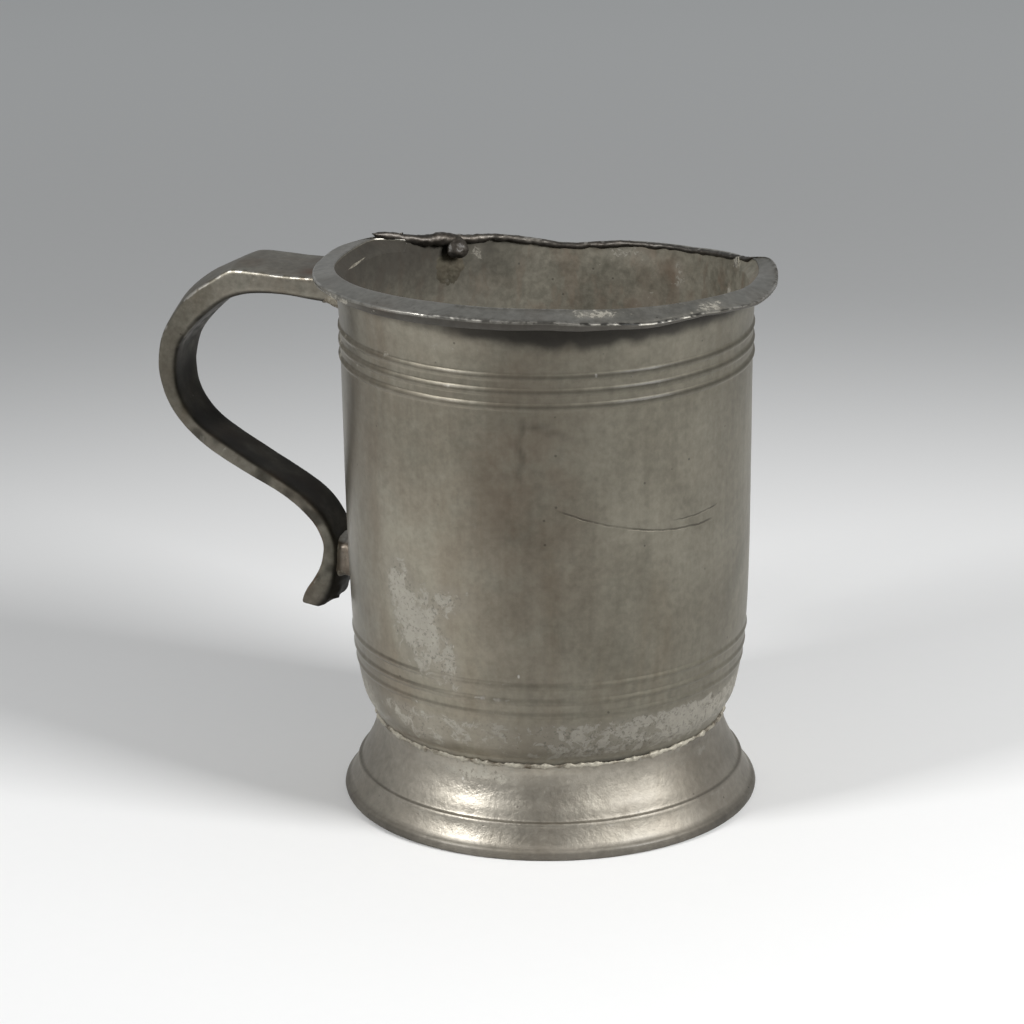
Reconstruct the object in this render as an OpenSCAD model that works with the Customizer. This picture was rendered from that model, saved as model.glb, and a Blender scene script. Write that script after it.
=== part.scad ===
// Pewter pint tankard with a flared foot, a turned-out lip and a strap handle.
// The lip has melted away along one side and survives as an arc round the rest.
// Origin: centre of the foot's resting ring. +Z up. The handle points along -X.

/* [Drum] */
// Outer radius of the drum at its top
drum_r = 44.6; // [43:0.1:46]
// Thickness of the drum's wall
wall_t = 1.6; // [1.2:0.1:2.2]
// Height of the joint between the drum and the foot
seam_z = 18.9; // [17:0.1:21]
// Height of the middle bead of the upper reeding
upper_reed_z = 104; // [96:0.5:106]
// Height of the middle bead of the lower reeding
lower_reed_z = 35.2; // [33:0.2:40]
// Spacing of the beads in each band of reeding
reed_pitch = 3.2; // [2.6:0.1:3.6]
// Radius of one reeding bead
reed_r = 0.85; // [0.6:0.05:1.1]

/* [Foot] */
// Largest radius of the foot, at its edge band
foot_r = 45.7; // [44:0.1:49]
// Height of the foot's edge band
foot_band_h = 2.1; // [1.5:0.1:3]
// Thickness of the foot's skirt
foot_t = 1.9; // [1.4:0.1:2.5]

/* [Lip] */
// Outer radius of the lip
lip_r = 50.2; // [48.5:0.1:53]
// How far the mouth flares out beyond the drum before the flat of the lip
mouth_flare = 0.6; // [0.3:0.1:1.2]
// Thickness of the lip where it is thinnest
lip_t = 1.0; // [0.8:0.1:1.4]
// Height of the flared collar that carries the lip
collar_h = 3; // [2.5:0.1:4]

/* [Handle] */
// Width of the strap where it leaves the lip
strap_w = 18.5; // [14:0.5:20]
// Width of the strap along its lower run
strap_low_w = 12; // [9:0.2:14]

/* [Floor] */
// Thickness of the floor disc
floor_t = 1.8; // [1.4:0.1:2.5]

/* [Hidden] */

$fn = 96;
step_a = 4;                       // angle between the stations round the rim
lip_from = 156;                   // the surviving lip runs from here,
lip_to = 388;                     // past 360, to here
roll_from = 32;                   // the melted roll runs from here
roll_to = 152;                    // to here,
roll_swells = 120;                // and is thicker from here on
mouth_r = drum_r + mouth_flare;
wall_in = drum_r - wall_t;
floor_z = seam_z + floor_t;
seam_out = drum_r - 6.2;          // the drum's end at the seam
seam_in = seam_out - 1.7;
foot_flare = foot_r - seam_out;   // how far the foot spreads beyond the seam
wall_end = 124;                   // the drum's wall is cut from a blank this tall
strut_z = 48.9;                   // height of the middle of the post
strut_w = 9.8;                    // its width across the strap
strut_h = 8.4;                    // its height
strut_reach = 3.2;                // how far it stands out from drum_r
solder_low = 108.6;               // the upper solder runs from here
solder_high = 115.2;              // to the foot of the collar
solder_out = 1.6;                 // how far it stands out from drum_r
drip_a = 136.4;                   // where the melted drip hangs,
drip_z = 113.2;                   // its height
drip_r = 2;                       // and its radius
patch_a = 138;                    // where the blister sits on the wall,
patch_z = 107.8;                  // its height,
patch_r = 4.4;                    // its radius
patch_t = 0.5;                    // and how far it stands in from the wall

// Height of the mouth round the rim: [angle, height]. It is highest opposite
// the lost stretch, where the wall itself has slumped.
rim_heights = [
    [0, 118.4], [14, 117.9], [28, 118.1], [32, 117.2], [40, 115.8], [56, 114], [72, 113],
    [88, 112.5], [101, 111.4], [112, 112.7], [128, 114.2], [148, 115.8],
    [156, 117.4], [164, 118.2], [188, 118.5], [214, 120.1], [238, 121.2],
    [256, 121.7], [288, 121.7], [316, 120.8], [332, 120.2], [348, 119.1], [360, 118.4]
];

// Height of the lip's outer edge: [angle, height]
edge_heights = [
    [156, 117.6], [172, 117.8], [186, 118], [206, 118.8], [224, 119.8],
    [246, 120.4], [262, 120.9], [288, 120.9], [304, 119.8], [314, 119.1],
    [328, 119.2], [340, 118.2], [352, 117.4], [364, 117.4], [372, 118.3], [380, 118.9],
    [388, 118.7]
];

// Thickness of the lip's edge: [angle, factor]
edge_swell = [
    [156, 1], [215, 1], [240, 1.9], [262, 2.3], [292, 2], [312, 1.2], [330, 0.8], [388, 1]
];

// Outline of the drum's outer face from the seam upwards: [radius, height]
drum_curve = [
    [seam_out, seam_z], [seam_out + 0.5, seam_z + 1.7], [drum_r - 3.9, 23.6],
    [drum_r - 3, 27], [drum_r - 2.3, 31], [drum_r - 1.7, 36], [drum_r - 1.2, 42],
    [drum_r - 0.8, 52], [drum_r - 0.45, 68], [drum_r - 0.2, 90],
    [drum_r, 108], [drum_r, wall_end]
];

// Middle of the strap from the lip to the tail, which thickens into a wedge:
// [distance outside drum_r, height, width, thickness]
strap_line = [
    [1.4, 112, strap_w, 6],
    [6.7, 112.2, strap_w, 5.3],
    [12.8, 112.5, strap_w, 4.7],
    [18.9, 112.5, strap_w, 5.1],
    [24, 111.9, strap_w - 0.1, 5.7],
    [28.4, 109.8, strap_w - 0.3, 5.5],
    [33.2, 106.2, strap_w - 0.9, 5.7],
    [37.5, 101.5, strap_w - 2.1, 5.1],
    [40.4, 96.9, strap_w - 3.6, 4.5],
    [41.6, 91.5, strap_w - 4.8, 4],
    [41.5, 87.6, strap_low_w + 1.1, 3.7],
    [40.6, 83.8, strap_low_w + 0.7, 3.3],
    [38.3, 79.8, strap_low_w + 0.3, 3],
    [34.7, 76.1, strap_low_w, 3],
    [30.4, 73.1, strap_low_w, 3.3],
    [23.9, 69.5, strap_low_w, 3.1],
    [15.9, 65.3, strap_low_w, 2.7],
    [10.2, 61.5, strap_low_w, 2.9],
    [6.6, 57.6, strap_low_w, 2.8],
    [4.7, 53.4, strap_low_w + 0.1, 2.8],
    [4.6, 50, strap_low_w + 0.4, 3],
    [5, 46.3, strap_low_w + 0.8, 4.2],
    [5.8, 43.1, strap_low_w + 1.2, 5.6],
    [7.6, 40.6, strap_low_w + 1.4, 5.2],
    [9.3, 38.7, strap_low_w + 1, 3.6],
    [9.7, 37.9, strap_low_w + 0.2, 2.7]
];
strap_steps = 3;                  // stations on each stretch between two points
tail_taper = 0.62;                // how far the strap's last station is thinned

// Cross-section of the strap, as fractions of half its width and thickness.
// The inner face is flat and the outer face is a little crowned.
strap_section = [
    [-1, -0.45], [-0.93, -0.85], [-0.78, -1], [0.78, -1], [0.93, -0.85], [1, -0.45],
    [1, 0.4], [0.92, 0.8], [0.68, 1], [0, 1.12], [-0.68, 1], [-0.92, 0.8], [-1, 0.4]
];

function rim_z(a) = lookup(a, rim_heights);
function edge_z(a) = lookup(a, edge_heights);
function edge_t(a) = lip_t * lookup(a, edge_swell);
function has_lip(a) = a >= lip_from || a <= lip_to - 360;

// Height at which the drum's own wall ends: under the collar where the lip
// survives, and at the slumped edge where it is lost
function wall_top(a) = has_lip(a) ? rim_z(a) - collar_h : rim_z(a);

function polar(r, a, z) = [r * cos(a), r * sin(a), z];

// Point and slope of a smooth curve through the points list, u counted in points
function curve_at(list, u) =
    let (
        last = len(list) - 1,
        i = min(floor(u), last - 1),
        t = u - i,
        p0 = i > 0 ? list[i - 1] : 2 * list[0] - list[1],
        p1 = list[i],
        p2 = list[i + 1],
        p3 = i + 2 <= last ? list[i + 2] : 2 * list[last] - list[last - 1]
    )
    0.5 * (
        2 * p1 + (p2 - p0) * t
        + (2 * p0 - 5 * p1 + 4 * p2 - p3) * t * t
        + (3 * p1 - p0 - 3 * p2 + p3) * t * t * t
    );

// Faces of a skin over rings of n points each, closed by two end caps
function ring_faces(rings, n) = concat(
    [
        for (k = [0 : rings - 2], j = [0 : n - 1])
            [k * n + j, k * n + (j + 1) % n, (k + 1) * n + (j + 1) % n, (k + 1) * n + j]
    ],
    [[for (j = [n - 1 : -1 : 0]) j]],
    [[for (j = [0 : n - 1]) (rings - 1) * n + j]]
);

// Outline of the drum's inner face, from the mouth down to the seam
function inner_curve() = [
    for (i = [len(drum_curve) - 1 : -1 : 2]) drum_curve[i] - [wall_t, i < 4 ? -0.6 : 0]
];

// Everything above the drum's ragged edge
module above_the_edge() {
    angles = [for (a = [0 : step_a : 360 - step_a]) a];
    n = len(angles);
    r_in = wall_in - 10;
    r_out = drum_r + 10;
    top = wall_end + 10;
    points = [
        for (a = angles) each [
            polar(r_in, a, wall_top(a)), polar(r_out, a, wall_top(a)),
            polar(r_out, a, top), polar(r_in, a, top)
        ]
    ];
    faces = [
        for (k = [0 : n - 1], j = [0 : 3])
            let (a = k * 4, b = ((k + 1) % n) * 4, m = (j + 1) % 4)
            each [[a + j, a + m, b + m], [a + j, b + m, b + j]]
    ];
    polyhedron(points, faces, convexity = 6);
}

// Solid inside the drum's outer face, without the reeding
module drum_core() {
    rotate_extrude() polygon(concat([[0, seam_z]], drum_curve, [[0, wall_end]]));
}

// Section of three beads; leans holds how far each bead's middle lies inside drum_r
module reed_band(middle, leans) {
    for (i = [0 : 2])
        translate([drum_r - leans[i], middle + (i - 1) * reed_pitch]) circle(reed_r, $fn = 24);
}

// Drum with three beads near the top and three near the foot
module drum() {
    color("dimgray") difference() {
        rotate_extrude() {
            polygon(concat(drum_curve, inner_curve(), [[seam_in, floor_z], [seam_in, seam_z]]));
            reed_band(upper_reed_z, [0.5, 0.5, 0.5]);
            reed_band(lower_reed_z, [2.75, 2.3, 1.95]);
        }
        above_the_edge();
    }
}

// Flat disc let into the drum's lower end
module floor_disc() {
    color("slategray") translate([0, 0, seam_z]) cylinder(h = floor_t, r = seam_in);
}

// Points of the foot's slope from [share of foot_flare, height], moved in by inset
function foot_slope(shares, inset = 0) = [
    for (p = shares) [seam_out + p[0] * foot_flare - inset, p[1]]
];

// Cast skirt: edge band, lower slope, a small ledge and a hollow upper slope
module foot() {
    thinner = foot_t - 1.9;
    outer = concat(
        [[foot_r - 0.5, 0], [foot_r, 0.9], [foot_r - 0.4, foot_band_h]],
        foot_slope([
            [0.79, 3.3], [0.67, 5], [0.58, 7.3], [0.47, 7.8], [0.33, 9.6], [0.18, 11.6],
            [0.05, 14.2], [0, 16.8], [0, seam_z]
        ])
    );
    inner = concat(
        [[seam_in - 2, seam_z], [seam_in - 2, seam_z - foot_t], [seam_out - foot_t - 0.4, 15]],
        foot_slope([[-0.15, 11.2], [0.1, 7.8], [0.31, 4.8], [0.53, 2.6], [0.64, 0]], thinner)
    );
    color("gray") rotate_extrude() polygon(concat(outer, inner));
}

// Flared collar and turned-out lip, swept round the arc that survives
module lip() {
    angles = [for (a = [lip_from : step_a : lip_to]) a];
    points = [
        for (a = angles)
            let (
                top = rim_z(a % 360),
                foot_z = top - collar_h,
                edge = edge_z(a),
                t = edge_t(a)
            )
            each [
                polar(wall_in, a, foot_z), polar(drum_r, a, foot_z),
                polar(drum_r + 0.6, a, top - 2), polar(mouth_r + 1.2, a, top - 1.5),
                polar(lip_r - 0.5, a, edge - t), polar(lip_r, a, edge - t * 0.5),
                polar(lip_r - 0.4, a, edge), polar(mouth_r + 0.8, a, top),
                polar(mouth_r - 0.6, a, top - 0.3), polar(wall_in + 0.4, a, top - 1.4)
            ]
    ];
    color("darkgray") polyhedron(points, ring_faces(len(angles), 10), convexity = 6);
}

// Strap handle: flat top, S-shaped drop and a tail that flicks outwards
module handle() {
    n = len(strap_section);
    last = len(strap_line) - 1;
    stations = [for (k = [0 : last * strap_steps]) k / strap_steps];
    points = [
        for (u = stations)
            let (
                here = curve_at(strap_line, u),
                ahead = curve_at(strap_line, min(u + 0.05, last)),
                behind = curve_at(strap_line, max(u - 0.05, 0)),
                run = [ahead[0] - behind[0], ahead[1] - behind[1]],
                along = run / norm(run),
                at_tail = u > last - 0.2,
                half_w = here[2] / 2 * (at_tail ? 0.9 : 1),
                half_t = here[3] / 2 * (at_tail ? tail_taper : 1)
            )
            for (s = strap_section)
                [
                    -(drum_r + here[0] - along[1] * s[1] * half_t),
                    s[0] * half_w,
                    here[1] + along[0] * s[1] * half_t
                ]
    ];
    color("dimgray") polyhedron(points, ring_faces(len(stations), n), convexity = 8);
}

// Broad post between the drum and the lower curve of the strap
module handle_strut() {
    color("lightslategray") difference() {
        translate([-drum_r - strut_reach, 0, strut_z]) rotate([0, 90, 0])
            linear_extrude(height = 6) union() {
                square([strut_h, strut_w - strut_h], center = true);
                for (s = [-1, 1]) translate([0, s * (strut_w - strut_h) / 2]) circle(d = strut_h);
            }
        drum_core();
    }
}

// Solder between the strap's end and the wall, under the collar
module solder_handle() {
    color("darkkhaki") difference() {
        translate([-drum_r - solder_out, -strap_w / 2 + 0.4, solder_low])
            cube([6, strap_w - 0.8, solder_high - solder_low]);
        drum_core();
    }
}

// Crust of old solder round the joint between the drum and the foot
module solder_foot() {
    color("darkkhaki") rotate_extrude() polygon([
        [seam_out, seam_z], [seam_out + 0.25, seam_z + 0.85], [seam_out + 0.7, seam_z + 0.5],
        [seam_out + 0.65, seam_z - 0.2], [seam_out + 0.1, seam_z - 0.75]
    ]);
}

// Fillet of solder round the edge of the floor, inside
module solder_floor() {
    color("darkkhaki") rotate_extrude() polygon([
        [seam_in - 1.8, floor_z], [seam_in, floor_z], [seam_in, floor_z + 0.5]
    ]);
}

// Melted metal rolled along the edge where the lip is lost
module rim_roll() {
    angles = [for (a = [roll_from : step_a : roll_to]) a];
    points = [
        for (a = angles)
            let (z = rim_z(a), h = a > roll_swells ? 1.5 : 0.7)
            each [
                polar(wall_in, a, z), polar(drum_r, a, z), polar(drum_r - 0.1, a, z + h * 0.6),
                polar(drum_r - 0.7, a, z + h), polar(wall_in - 0.2, a, z + h * 0.7)
            ]
    ];
    color("darkslategray") polyhedron(points, ring_faces(len(angles), 5), convexity = 4);
}

// Drop of melted metal hanging inside the rim
module rim_drip() {
    color("darkslategray") rotate([0, 0, drip_a]) difference() {
        translate([wall_in - 1.5, 0, drip_z]) sphere(r = drip_r, $fn = 32);
        difference() {
            cylinder(h = wall_end, r = wall_in + 6);
            cylinder(h = wall_end, r = wall_in);
        }
    }
}

// Shallow blister on the inside of the wall, below the drip
module wall_patch() {
    color("gray") rotate([0, 0, patch_a]) intersection() {
        translate([wall_in - 6, 0, patch_z]) rotate([0, 90, 0]) cylinder(h = 12, r = patch_r);
        difference() {
            cylinder(h = wall_end, r = wall_in);
            cylinder(h = wall_end, r = wall_in - patch_t);
        }
    }
}

drum();
floor_disc();
foot();
lip();
handle();
handle_strut();
solder_handle();
solder_foot();
solder_floor();
rim_roll();
rim_drip();
wall_patch();
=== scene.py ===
"""Pewter pint tankard: the looks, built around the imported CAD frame.

Mesh code works in millimetres and the scene is in metres. +Z is up and the handle points along -X.
Azimuths are degrees from +X; the lip is lost from about 30 to 152 and the photograph's side is 288."""
import math

import bmesh
import bpy
from mathutils import Matrix, Vector, noise


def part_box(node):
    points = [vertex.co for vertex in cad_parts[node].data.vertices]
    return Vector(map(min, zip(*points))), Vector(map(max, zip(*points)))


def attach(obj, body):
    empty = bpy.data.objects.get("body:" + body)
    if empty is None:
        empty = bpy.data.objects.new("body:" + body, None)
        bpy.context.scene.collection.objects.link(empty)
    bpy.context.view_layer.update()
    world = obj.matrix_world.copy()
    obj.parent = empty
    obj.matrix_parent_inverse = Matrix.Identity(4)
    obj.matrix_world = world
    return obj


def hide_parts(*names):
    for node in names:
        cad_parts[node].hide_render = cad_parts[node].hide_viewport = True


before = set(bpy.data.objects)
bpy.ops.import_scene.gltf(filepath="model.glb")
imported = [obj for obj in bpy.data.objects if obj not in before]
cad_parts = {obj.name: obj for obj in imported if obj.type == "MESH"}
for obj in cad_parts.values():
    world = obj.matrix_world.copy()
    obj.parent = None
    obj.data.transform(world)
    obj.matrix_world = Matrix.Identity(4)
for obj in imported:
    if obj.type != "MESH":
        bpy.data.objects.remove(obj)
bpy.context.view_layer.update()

MM = 0.001


# ------ numbers taken from the frame
def box_mm(node):
    low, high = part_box(node)
    return [c / MM for c in low], [c / MM for c in high]


SEAM_Z = box_mm("foot")[1][2]
FLOOR_Z = box_mm("floor_disc")[1][2]
FOOT_R = box_mm("foot")[1][0]
LIP_R = box_mm("lip")[1][0]
FRONT_TURN = 288.0
DRUM_R = 44.6
WALL_T = 1.6
WALL_IN = DRUM_R - WALL_T
SEAM_OUT = 38.4
SEAM_IN = 36.7
COLLAR_H = 3.0
# Heights on the drum: up to EVEN_TOP its rows are level, and inside they follow the rim down to RIM_REACH
EVEN_TOP = 109.6
RIM_REACH = 98.0
LIP_FROM, LIP_TO = 153.0, 396.0
REED_R = 0.85
LEAN_X, LEAN_Y = math.cos(math.radians(18)), math.sin(math.radians(18))
UPPER_REEDS = [(44.12, 100.8), (44.12, 104.0), (44.12, 107.2)]
LOWER_REEDS = [(41.85, 32.0), (42.3, 35.2), (42.65, 38.8)]

# Height of the rim round the mouth: (azimuth, height)
RIM = [
    (-8, 118.6), (0, 118.4), (14, 117.9), (22, 117.8), (28, 118.2), (32, 117.6), (35, 117.0), (42, 116.2),
    (61, 114.3), (76, 113.6), (86, 113.2), (99, 112.0), (104, 112.1), (116, 113.8), (127, 114.6),
    (134, 114.8), (141, 115.8), (148, 116.2), (154, 117.0), (160, 117.9), (164, 118.2), (188, 118.5),
    (214, 120.1), (238, 121.2), (256, 121.7), (288, 121.7), (316, 120.8), (332, 120.2), (348, 119.1),
    (360, 118.4), (374, 117.9), (382, 117.8), (388, 118.2),
]
# Height of the lip's outer edge
EDGE = [
    (153, 118.3), (161, 118.3), (172, 118.3), (186, 118.0), (206, 118.8), (224, 119.8), (246, 120.4),
    (262, 120.9), (288, 120.9), (304, 119.8), (314, 119.1), (328, 119.2), (340, 118.2), (352, 117.4),
    (364, 117.4), (372, 118.3), (380, 118.9), (387.5, 118.7), (389, 118.3), (392, 117.7), (396, 117.1),
]
# Thickness of the lip's edge
EDGE_T = [
    (153, 1.0), (200, 1.0), (222, 1.3), (240, 1.9), (262, 2.3), (292, 2.0), (308, 1.3),
    (330, 0.8), (360, 0.9), (388, 1.0),
]
# Radius of the crease where the flared mouth turns into the flat of the lip
CREASE = [
    (153, 43.7), (155, 44.2), (158, 46.0), (161.5, 47.3), (165, 47.2), (170, 46.6), (178, 46.0),
    (190, 45.8), (204, 45.3), (230, 44.7), (250, 44.2), (262.4, 43.9), (263.6, 44.7), (290, 44.6),
    (305, 45.2), (320, 45.6), (340, 45.4), (356, 45.1), (370, 45.3), (380, 45.8), (387.5, 46.1),
    (391, 45.3), (394, 44.2), (396, 43.7),
]
# Outer radius of the lip
OUTER = [
    (153, 45.4), (155, 45.7), (157, 46.4), (160.5, 47.7), (165.5, 48.7), (169, 49.4), (172.5, 50.0),
    (178, 50.2), (230, 50.2), (300, 50.1), (316, 50.2), (334, 49.9), (350, 50.2), (366, 50.0), (374, 49.7),
    (380, 49.4), (385, 49.0), (387, 48.5), (388, 47.6), (388.6, 46.9), (390, 46.5), (393, 45.8),
    (396, 45.4),
]
# Outline of the drum's outer face from the seam upwards: (radius, height)
WALL = [
    (38.4, 18.9), (38.9, 20.6), (40.7, 23.6), (41.6, 27.0), (42.3, 31.0), (42.9, 36.0), (43.4, 42.0),
    (43.8, 52.0), (44.15, 68.0), (44.4, 90.0), (44.55, 106.0), (44.7, 110.0), (44.95, 113.0), (45.3, 116.0),
    (45.5, 120.0), (45.5, 126.0),
]
# Crest of the melted roll: (azimuth, radius of its middle, height of its top, half thickness)
ROLL = [
    (29, 45.6, 118.3, 0.35), (32, 45.0, 117.8, 0.4), (35, 44.6, 117.35, 0.4), (42, 44.1, 116.75, 0.42),
    (61, 44.1, 114.9, 0.4), (76, 44.1, 114.25, 0.45), (86, 44.1, 113.85, 0.5), (94, 44.1, 113.1, 0.48),
    (99, 44.1, 112.6, 0.42), (104, 44.1, 112.7, 0.45), (110, 44.0, 113.6, 0.5), (116, 43.9, 114.4, 0.55),
    (122, 43.8, 115.1, 0.6), (127.6, 43.5, 115.45, 0.75), (132, 43.2, 115.6, 0.95),
    (136, 43.0, 116.2, 1.15), (139.5, 42.9, 116.95, 1.4), (142.3, 42.9, 117.35, 1.5),
    (145, 43.1, 117.0, 1.35), (148, 43.6, 117.2, 1.25), (152, 44.5, 117.8, 1.05), (156, 45.7, 118.6, 0.9),
    (159, 46.7, 119.1, 0.75), (162, 47.6, 119.1, 0.5),
]


# ------ small tools
def lookup(table, x, column=1):
    """Value of a column of the table at x, on straight lines between its rows."""
    if x <= table[0][0]:
        return table[0][column]
    for low, high in zip(table, table[1:]):
        if x <= high[0]:
            t = (x - low[0]) / (high[0] - low[0])
            return low[column] + t * (high[column] - low[column])
    return table[-1][column]


def eased(table, x, reach, column=1):
    """lookup with its corners rounded over reach either side."""
    steps = (-1.0, -0.6, -0.25, 0.25, 0.6, 1.0)
    return sum(lookup(table, x + reach * s, column) for s in steps) / len(steps)


def step(x, low, high):
    t = min(max((x - low) / (high - low), 0.0), 1.0)
    return t * t * (3 - 2 * t)


def bell(x, middle, width):
    return math.exp(-((x - middle) / width) ** 2)


def turn_gap(a, b):
    """Signed difference of two azimuths."""
    return (a - b + 180) % 360 - 180


def patch(a, z, mid_a, mid_z, size_a, size_z):
    """1 in the middle of an oval on the wall, 0 outside; sizes in degrees and mm."""
    return math.exp(-((turn_gap(a, mid_a) / size_a) ** 2 + ((z - mid_z) / size_z) ** 2))


def polar(r, a, z):
    t = math.radians(a)
    return (r * math.cos(t), r * math.sin(t), z)


def leaned(r, a, z):
    """polar, with the foot and the drum's lower end a little off centre, as the real one is."""
    x, y, z = polar(r, a, z)
    lean = 0.22 * (1 - step(z, 38, 80))
    return (x + lean * LEAN_X, y + lean * LEAN_Y, z)


def lumps(p, pitch, seed=0.0):
    """Smooth noise from -1 to 1 with features about pitch mm across."""
    return noise.noise(Vector((p[0] / pitch + seed, p[1] / pitch - seed, p[2] / pitch + 2 * seed)))


def crust(p, pitch, seed=0.0):
    """Rougher noise of several sizes."""
    small, tiny = lumps(p, pitch / 2.1, seed + 9), lumps(p, pitch / 4.3, seed + 5)
    return lumps(p, pitch, seed) + 0.5 * small + 0.25 * tiny


def curve(points, per):
    """Catmull-Rom curve through points (tuples of any length), per steps a stretch."""
    out = []
    last = len(points) - 1
    for i in range(last):
        p1, p2 = points[i], points[i + 1]
        p0 = points[i - 1] if i else tuple(2 * a - b for a, b in zip(p1, p2))
        p3 = points[i + 2] if i + 2 <= last else tuple(2 * b - a for a, b in zip(p1, p2))
        for k in range(per):
            t = k / per
            bends = [(2 * a - 5 * b + 4 * c - d, 3 * b - a - 3 * c + d) for a, b, c, d in zip(p0, p1, p2, p3)]
            out.append(tuple(
                0.5 * (2 * b + (c - a) * t + square * t * t + cube * t ** 3)
                for a, b, c, (square, cube) in zip(p0, p1, p2, bends)
            ))
    out.append(tuple(points[-1]))
    return out


def spaced(low, high, pitch):
    count = max(1, round((high - low) / pitch))
    return [low + (high - low) * k / count for k in range(count + 1)]


def turns(count):
    """Azimuths of count points spaced once round."""
    return [360 * k / count for k in range(count)]


def angles(count):
    """turns, in radians."""
    return [2 * math.pi * k / count for k in range(count)]


def squared(u, power):
    """Point at angle u of a circle that a power below 1 squares off."""
    return tuple(math.copysign(abs(c) ** power, c) for c in (math.cos(u), math.sin(u)))


def skin(name, rows, marks, material, nodes, closed_rows=False, inner=None, is_inner=None):
    """Mesh over rows of points, each a closed ring. closed_rows joins the last row to the first; otherwise
    both are capped. marks holds four values for each point (rubbing with painted highlights, pale corrosion,
    dirt with painted shade, warm tint), then a fifth where it isn't 1: painted light and shade, with some
    tarnish.
    Faces where is_inner(row, column) holds take the material inner."""
    width, count = len(rows[0]), len(rows)
    verts = [tuple(c * MM for c in p) for row in rows for p in row]
    faces = []
    for k in range(count if closed_rows else count - 1):
        k2 = (k + 1) % count
        for j in range(width):
            j2 = (j + 1) % width
            faces.append((k * width + j, k * width + j2, k2 * width + j2, k2 * width + j))
    for k, flip in () if closed_rows else ((0, True), (count - 1, False)):
        verts.append(tuple(sum(p[i] for p in rows[k]) / width * MM for i in range(3)))
        marks.append(marks[k * width])
        hub = len(verts) - 1
        for j in range(width):
            a, b = k * width + j, k * width + (j + 1) % width
            faces.append((hub, b, a) if flip else (hub, a, b))
    mesh = bpy.data.meshes.new(name)
    mesh.from_pydata(verts, [], faces)
    mesh.materials.append(material)
    if inner:
        mesh.materials.append(inner)
        slots = [int(is_inner(i // width, i % width)) for i in range(len(faces))]
        mesh.polygons.foreach_set("material_index", slots)
    work = bmesh.new()
    work.from_mesh(mesh)
    bmesh.ops.recalc_face_normals(work, faces=work.faces)
    work.to_mesh(mesh)
    work.free()
    layer = mesh.color_attributes.new(name="marks", type="FLOAT_COLOR", domain="POINT")
    layer.data.foreach_set("color", [c for m in marks for c in m[:4]])
    tone_and_shading_layer = mesh.attributes.new(name="tone", type="FLOAT", domain="POINT")
    tone_and_shading_layer.data.foreach_set("value", [m[4] if len(m) > 4 else 1.0 for m in marks])
    mesh.shade_smooth()
    piece = bpy.data.objects.new(name, mesh)
    bpy.context.scene.collection.objects.link(piece)
    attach(piece, "root")
    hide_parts(*nodes)
    return piece


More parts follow.
